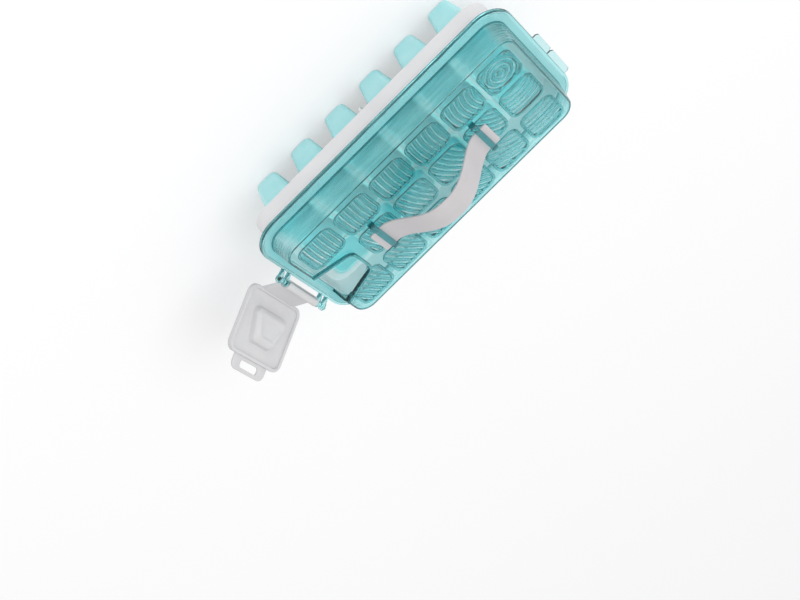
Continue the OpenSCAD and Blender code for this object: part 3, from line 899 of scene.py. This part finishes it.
mesh = bmesh.new()
bmesh.ops.create_grid(mesh, x_segments=2, y_segments=2, size=FLOOR_HALF)
floor = new_piece("floor", mesh)
floor.location.z = -FLOOR_DROP * MM
floor_paint, tree, shader = new_material("floor_matte_paint")
place = add_node(tree, "ShaderNodeTexCoord")
clouds = add_node(tree, "ShaderNodeTexNoise", {"Scale": 1 / (FLOOR_CLOUD * MM)},
                  {"Vector": (place, "Object")})
tone = add_node(tree, "ShaderNodeMix", {6: linear(FLOOR_SHADE), 7: linear(FLOOR_WHITE)},
                {0: (clouds, "Fac")}, data_type="RGBA")
tree.links.new(tone.outputs[2], shader.inputs["Base Color"])
shader.inputs["Roughness"].default_value = 0.9
rays = add_node(tree, "ShaderNodeLightPath")
share = add_node(tree, "ShaderNodeMath", {1: FLOOR_GLOW}, {0: (rays, "Is Camera Ray")},
                 operation="MULTIPLY")
glow = add_node(tree, "ShaderNodeEmission", {"Color": linear(WHITE), "Strength": 1.0})
shown = add_node(tree, "ShaderNodeMixShader",
                 links={0: (share, "Value"), 1: (shader, "BSDF"), 2: (glow, "Emission")})
tree.links.new(shown.outputs["Shader"], tree.nodes["Material Output"].inputs["Surface"])
floor.data.materials.append(floor_paint)

world = bpy.data.worlds.new("soft_room")
world.use_nodes = True
tree = world.node_tree
tree.nodes.clear()
rays = add_node(tree, "ShaderNodeLightPath")
plain = add_node(tree, "ShaderNodeMath", links={0: (rays, "Is Camera Ray"), 1: (rays, "Is Glossy Ray")},
                 operation="MAXIMUM")
seen = add_node(tree, "ShaderNodeMath", links={0: (plain, "Value"), 1: (rays, "Is Transmission Ray")},
                operation="MAXIMUM")
room = add_node(tree, "ShaderNodeBackground", {"Color": linear(WHITE), "Strength": ROOM_LIGHT})
backdrop = add_node(tree, "ShaderNodeBackground", {"Color": linear(WHITE), "Strength": 1.0})
mixed = add_node(tree, "ShaderNodeMixShader",
                 links={0: (seen, "Value"), 1: (room, "Background"), 2: (backdrop, "Background")})
add_node(tree, "ShaderNodeOutputWorld", links={"Surface": (mixed, "Shader")})
bpy.context.scene.world = world


def round_target(azimuth, elevation, distance):
    """A place at a bearing from +X, a height angle and a distance, all about the target."""
    a, e = math.radians(azimuth), math.radians(elevation)
    return TARGET + distance * Vector((math.cos(e) * math.cos(a), math.cos(e) * math.sin(a), math.sin(e)))


lamp_data = bpy.data.lights.new("key", "AREA")
lamp_data.shape = "DISK"
lamp_data.size = LAMP_SIZE
lamp_data.energy = LAMP_POWER
lamp = bpy.data.objects.new("key", lamp_data)
bpy.context.scene.collection.objects.link(lamp)
lamp.location = round_target(*LAMP_AT)
lamp.rotation_euler = (lamp.location - TARGET).to_track_quat("Z", "Y").to_euler()

camera_data = bpy.data.cameras.new("camera")
camera_data.lens = LENS
camera_data.sensor_width = SENSOR
camera = bpy.data.objects.new("camera", camera_data)
bpy.context.scene.collection.objects.link(camera)
camera.location = round_target(*CAMERA_AT)
aim = (camera.location - TARGET).to_track_quat("Z", "Y").to_matrix().to_4x4()
camera.rotation_euler = (aim @ Matrix.Rotation(math.radians(CAMERA_ROLL), 4, "Z")).to_euler()
bpy.context.scene.camera = camera

bpy.context.scene.view_settings.view_transform = "Standard"
